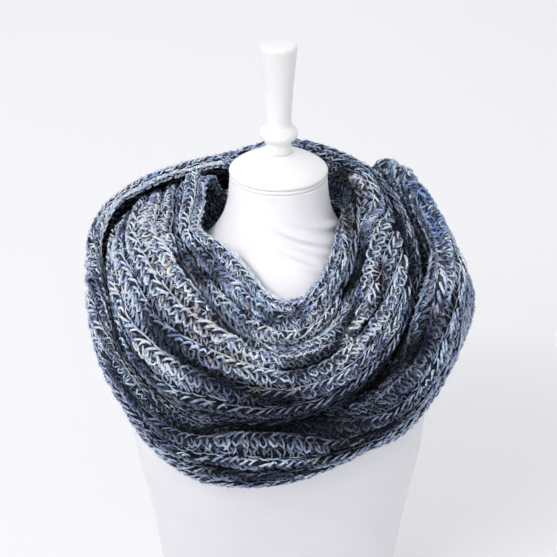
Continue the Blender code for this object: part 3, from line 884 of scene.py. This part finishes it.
def paint_material():
    """White satin paint on turned wood, with faint lathe marks."""
    g = Graph("white_paint", Roughness=0.34, Coat_Weight=0.25, Coat_Roughness=0.2)
    spot = g.spot()
    g.colour(g.ramp(g.noise(spot, 14, 4, 0.6), ((0.35, 0.84), (0.7, 0.9))))
    g.bump(g.noise(spot, 120, 3, 0.5), 0.06, 0.0008)
    return g.material


def floor_material():
    """Pale matt paper, very slightly uneven."""
    g = Graph("pale_floor", Roughness=0.9)
    dim = tuple(0.985 * c for c in PALE)
    g.colour(g.ramp(g.noise(g.spot(), 0.7, 2), ((0.3, dim), (0.7, PALE))))
    return g.material


# ---- dress form
RIM_HEIGHT = 560
NECK_TOP = RIM_HEIGHT - 9
LEVELS = (  # height, half width, front depth, back depth, roundness of the plan
    (0, 138, 84, 66, 2.3), (40, 139, 82, 64, 2.3), (90, 145, 88, 66, 2.3),
    (130, 150, 95, 70, 2.35), (190, 160, 112, 80, 2.4), (230, 166, 125, 88, 2.4),
    (270, 168, 130, 93, 2.4), (310, 167, 128, 97, 2.35), (350, 162, 118, 99, 2.25),
    (390, 151, 104, 99, 2.1), (415, 139, 93, 96, 2.1), (435, 123, 83, 90, 2.1),
    (455, 102, 73, 80, 2.1), (472, 84, 66, 71, 2.05), (487, 71, 60, 64, 2),
    (502, 62, 57, 58, 2), (520, 56, 54, 55, 2), (545, 53, 52, 53, 2),
    (560, 52, 52, 52, 2),
)
CHEST_HEIGHT = 400  # the rings lie closer above this
LOW_RINGS, HIGH_RINGS = 41, 61
FORM_SIDES = 180
WRINKLES = (  # turn angle, height, length, width, slope, depth: the cover's soft folds
    (38, 497, 62, 8, -0.45, 5.2), (52, 480, 58, 7.5, -0.35, 4.8),
    (30, 478, 52, 7.5, -0.5, 4.2), (62, 505, 50, 7.5, -0.3, 4.4),
    (44, 463, 50, 8, -0.4, 3.8), (70, 489, 44, 7.5, -0.25, 3.6),
    (-48, 486, 46, 9, 0.3, 1.53), (150, 495, 60, 10, 0.2, 2.21),
    (-150, 490, 60, 10, -0.2, 2.21),
)
SEAMS = (90, -90, 180)  # turn angles of the cover's seams
SEAM_DEPTH, SEAM_WIDTH = 0.6, 1.6
BASE_BEVEL = 3  # round the flat base


def form_cover(material):
    """The form's jersey cover, with soft wrinkles and seams."""
    levels = np.array(LEVELS, float)
    heights = np.unique(join(np.linspace(0, CHEST_HEIGHT, LOW_RINGS),
                             np.linspace(CHEST_HEIGHT, NECK_TOP, HIGH_RINGS)))
    rows = smooth_rows(heights, levels[:, 0], levels[:, 1:])
    angle = np.arange(FORM_SIDES) * 2 * np.pi / FORM_SIDES
    east, north = np.sin(angle), -np.cos(angle)
    turn = np.degrees(np.arctan2(east, -north))
    rings = []
    for height, (width, front, back, roundness) in zip(heights, rows):
        depth = np.where(north > 0, back, front)
        reach = ((np.abs(east) / width) ** roundness
                 + (np.abs(north) / depth) ** roundness) ** (-1 / roundness)
        arc = lambda at: ((turn - at + 180) % 360 - 180) * np.pi / 180 * reach
        for at, level, length, wide, slope, rise in WRINKLES:
            x = arc(at)
            y = height - level - slope * x
            reach = reach + rise * np.exp(-(x / length * 2) ** 2 - (y / wide * 2) ** 2)
        for seam in SEAMS:
            reach = reach - SEAM_DEPTH * np.exp(-(arc(seam) / SEAM_WIDTH) ** 2)
        reach = reach - max(0, BASE_BEVEL - height)
        rings.append(pack(reach * east, reach * north, np.full(FORM_SIDES, height)))
    return closed_form("form_cover", np.array(rings), 0, NECK_TOP, material)


CAP_PROFILE = (  # each point's radius, and height above the rim
    0, -8.7, 49.5, -8.7, 51.2, -8.5, 52.2, -7.8, 52.5, -6.8, 52.2, -5.9, 51.2, -5.2, 50.4, -4.7,
    50.5, -4.3, 51.8, -3.9, 52.7, -3.2, 53, -1.8, 52.8, -0.7, 52, 0.5, 50.2, 2.3, 47.5, 4.3,
    44, 6.5, 38, 10, 30, 14, 24, 16.4, 19, 17.9, 15.5, 18.6, 14.6, 19, 0, 19,
)
FINIAL_PROFILE = (
    0, 19.3, 13.6, 19.3, 14.3, 20, 14.5, 21.4, 14.1, 24, 13.7, 27, 13.7, 29.5, 14.4, 31.6,
    16.4, 33.6, 18.4, 35.2, 20, 37.2, 20.8, 39.4, 20.9, 41.4, 20.3, 43.4, 19, 45.4, 17, 47.4,
    15.2, 49.4, 14.1, 52, 13.7, 56, 13.8, 62, 14.5, 75, 15.6, 90, 17, 106, 18.3, 120, 19.3, 130,
    19.8, 133.4, 19.8, 135.6, 19, 137.4, 17.2, 138.4, 15, 138.6, 0, 138.6,
)
TURNED_SIDES = 96


def turned(name, profile, material):
    """A turned piece: its smoothed profile, swept round the axis."""
    radius, height = np.reshape(profile, (-1, 2)).T
    s = join([0], np.cumsum(np.hypot(np.diff(radius), np.diff(height))))
    knots = slice(1, -1)
    fine = np.unique(join(s[knots], (s[1:-2] + s[2:-1]) / 2))
    curve = smooth_rows(fine, s[knots], pack(radius, height)[knots])
    angle = np.arange(TURNED_SIDES) * 2 * np.pi / TURNED_SIDES
    circle = pack(np.cos(angle), np.sin(angle), 0 * angle)
    rings = curve[:, :1, None] * circle + [0, 0, 1] * (curve[:, 1:, None] + RIM_HEIGHT)
    return closed_form(name, rings, RIM_HEIGHT + height[0], RIM_HEIGHT + height[-1], material)


# ---- loose fibres
HAIRS = 5500
HAIR = 0.09  # radius of a loose fibre
HAIR_TAPER = (1, 0.85, 0.5)
HAIR_STRAY, HAIR_BEND = 0.9, 0.55  # its lean off the strand, and its curve
HAIR_SHAPE, HAIR_SCALE = 2.6, 1.15  # of the gamma distribution of lengths


def fuzz(name, spots, pick, material):
    """Loose fibres that stand off the strands at the picked spots."""
    points, normals, yarn, dyes, shade = (x[pick] for x in spots)
    n = len(points)
    wander = unit(rng.normal(0, 1, (n, 3)))
    lean = unit(normals + HAIR_STRAY * wander)
    turn = unit(np.cross(lean, rng.normal(0, 1, (n, 3))))
    length = rng.gamma(HAIR_SHAPE, HAIR_SCALE, n)[:, None]
    t = np.linspace(0, 1, len(HAIR_TAPER))[:, None]
    path = (points[:, None] + normals[:, None] + (lean * length)[:, None] * t
            + (turn * length * HAIR_BEND)[:, None] * t**2)
    radius = HAIR * np.array(HAIR_TAPER) * np.ones((n, 1))
    each = lambda values: np.repeat(values[:, None], len(t), axis=1)
    part = {"points": path, "normal": each(turn), "radius": radius, "yarn": each(yarn),
            "dye": each(dyes), "shade": each(shade), "lift": np.ones((n, len(t))), "sides": 3}
    return join_tubes(name, [part], material)


def tree_of(objects):
    verts, faces = [], []
    for item in objects:
        base = len(verts)
        verts += [v.co / MM for v in item.data.vertices]
        faces += [[base + i for i in p.vertices] for p in item.data.polygons]
    return BVHTree.FromPolygons(verts, faces)


# the ground shell takes a darker copy of the wool, painted shade for the cloth seen between the
# strands
yarn, ground = yarn_material("wool", 0.52, 2.02), yarn_material("wool_ground_shaded", 0.06, 0.74)
jersey, paint = jersey_material(), paint_material()

cover = form_cover(jersey)
cap = turned("cap_turned", CAP_PROFILE, paint)
top = turned("finial_turned", FINIAL_PROFILE, paint)
for piece, node, slot in ((cover, "form_body", "jersey"), (cap, "neck_cap", "painted_wood"),
                          (top, "finial", "painted_wood")):
    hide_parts(node)
    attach(piece, "root")

shells, areas = {}, {}
for name, *span in STRETCHES:
    shells[name], areas[name] = shell("cloth_" + name, *span, ground)

yarns, spots = crochet(tree_of([*shells.values(), cover, cap]), yarn)
choice = rng.permutation(len(spots[0]))[:HAIRS]
hair = fuzz("loose_fibres", spots, choice, yarn)
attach(hair, "root")

for name, *_ in STRETCHES:
    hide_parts(name)
    for piece in (shells[name], yarns[name]):
        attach(piece, "root")

# ---- stage, then light and camera in metres
FLOOR = [(-6000, -6000, 0), (6000, -6000, 0), (6000, 6000, 0), (-6000, 6000, 0)]
floor = make_object("floor", FLOOR, [(0, 1, 2, 3)], [], floor_material())


def area_light(name, place, target, size, power, colour, spread=180):
    data = bpy.data.lights.new(name, "AREA")
    data.energy, data.size, data.color = power, size, colour
    data.spread = math.radians(spread)
    lamp = bpy.data.objects.new(name, data)
    lamp.location = place
    lamp.rotation_euler = (Vector(target) - Vector(place)).to_track_quat("-Z", "Y").to_euler()
    scene.collection.objects.link(lamp)


CHEST = (0, 0, 0.42)
area_light("key", (-1.25, -1.6, 2.3), CHEST, 1.2, 27, (1, 0.99, 0.98))
area_light("top", (-0.6, 2.2, 3.4), (-0.3, 1.6, 0), 3, 30, (1, 1, 1))
area_light("neck", (-0.9, -1.2, 1.9), (-0.03, -0.06, 0.46), 0.2, 0.085, (1, 1, 1), 11)

world = bpy.data.worlds.new("studio")
world.use_nodes = True
background = world.node_tree.nodes["Background"].inputs
background["Color"].default_value = (0.96, 0.97, 1, 1)
background["Strength"].default_value = 0.73
scene.world = world
scene.view_settings.view_transform = "Standard"

VIEW_DISTANCE, VIEW_RISE, VIEW_PITCH, VIEW_ANGLE = 1.69, 24, 28, 20  # m, degrees
data = bpy.data.cameras.new("camera")
data.lens = data.sensor_width / 2 / math.tan(math.radians(VIEW_ANGLE / 2))
camera = bpy.data.objects.new("camera", data)
rise = math.radians(VIEW_RISE)
camera.location = (0, -VIEW_DISTANCE * math.cos(rise),
                   RIM_HEIGHT * MM + VIEW_DISTANCE * math.sin(rise))
camera.rotation_euler = (math.radians(90 - VIEW_PITCH), 0, 0)
scene.collection.objects.link(camera)
scene.camera = camera
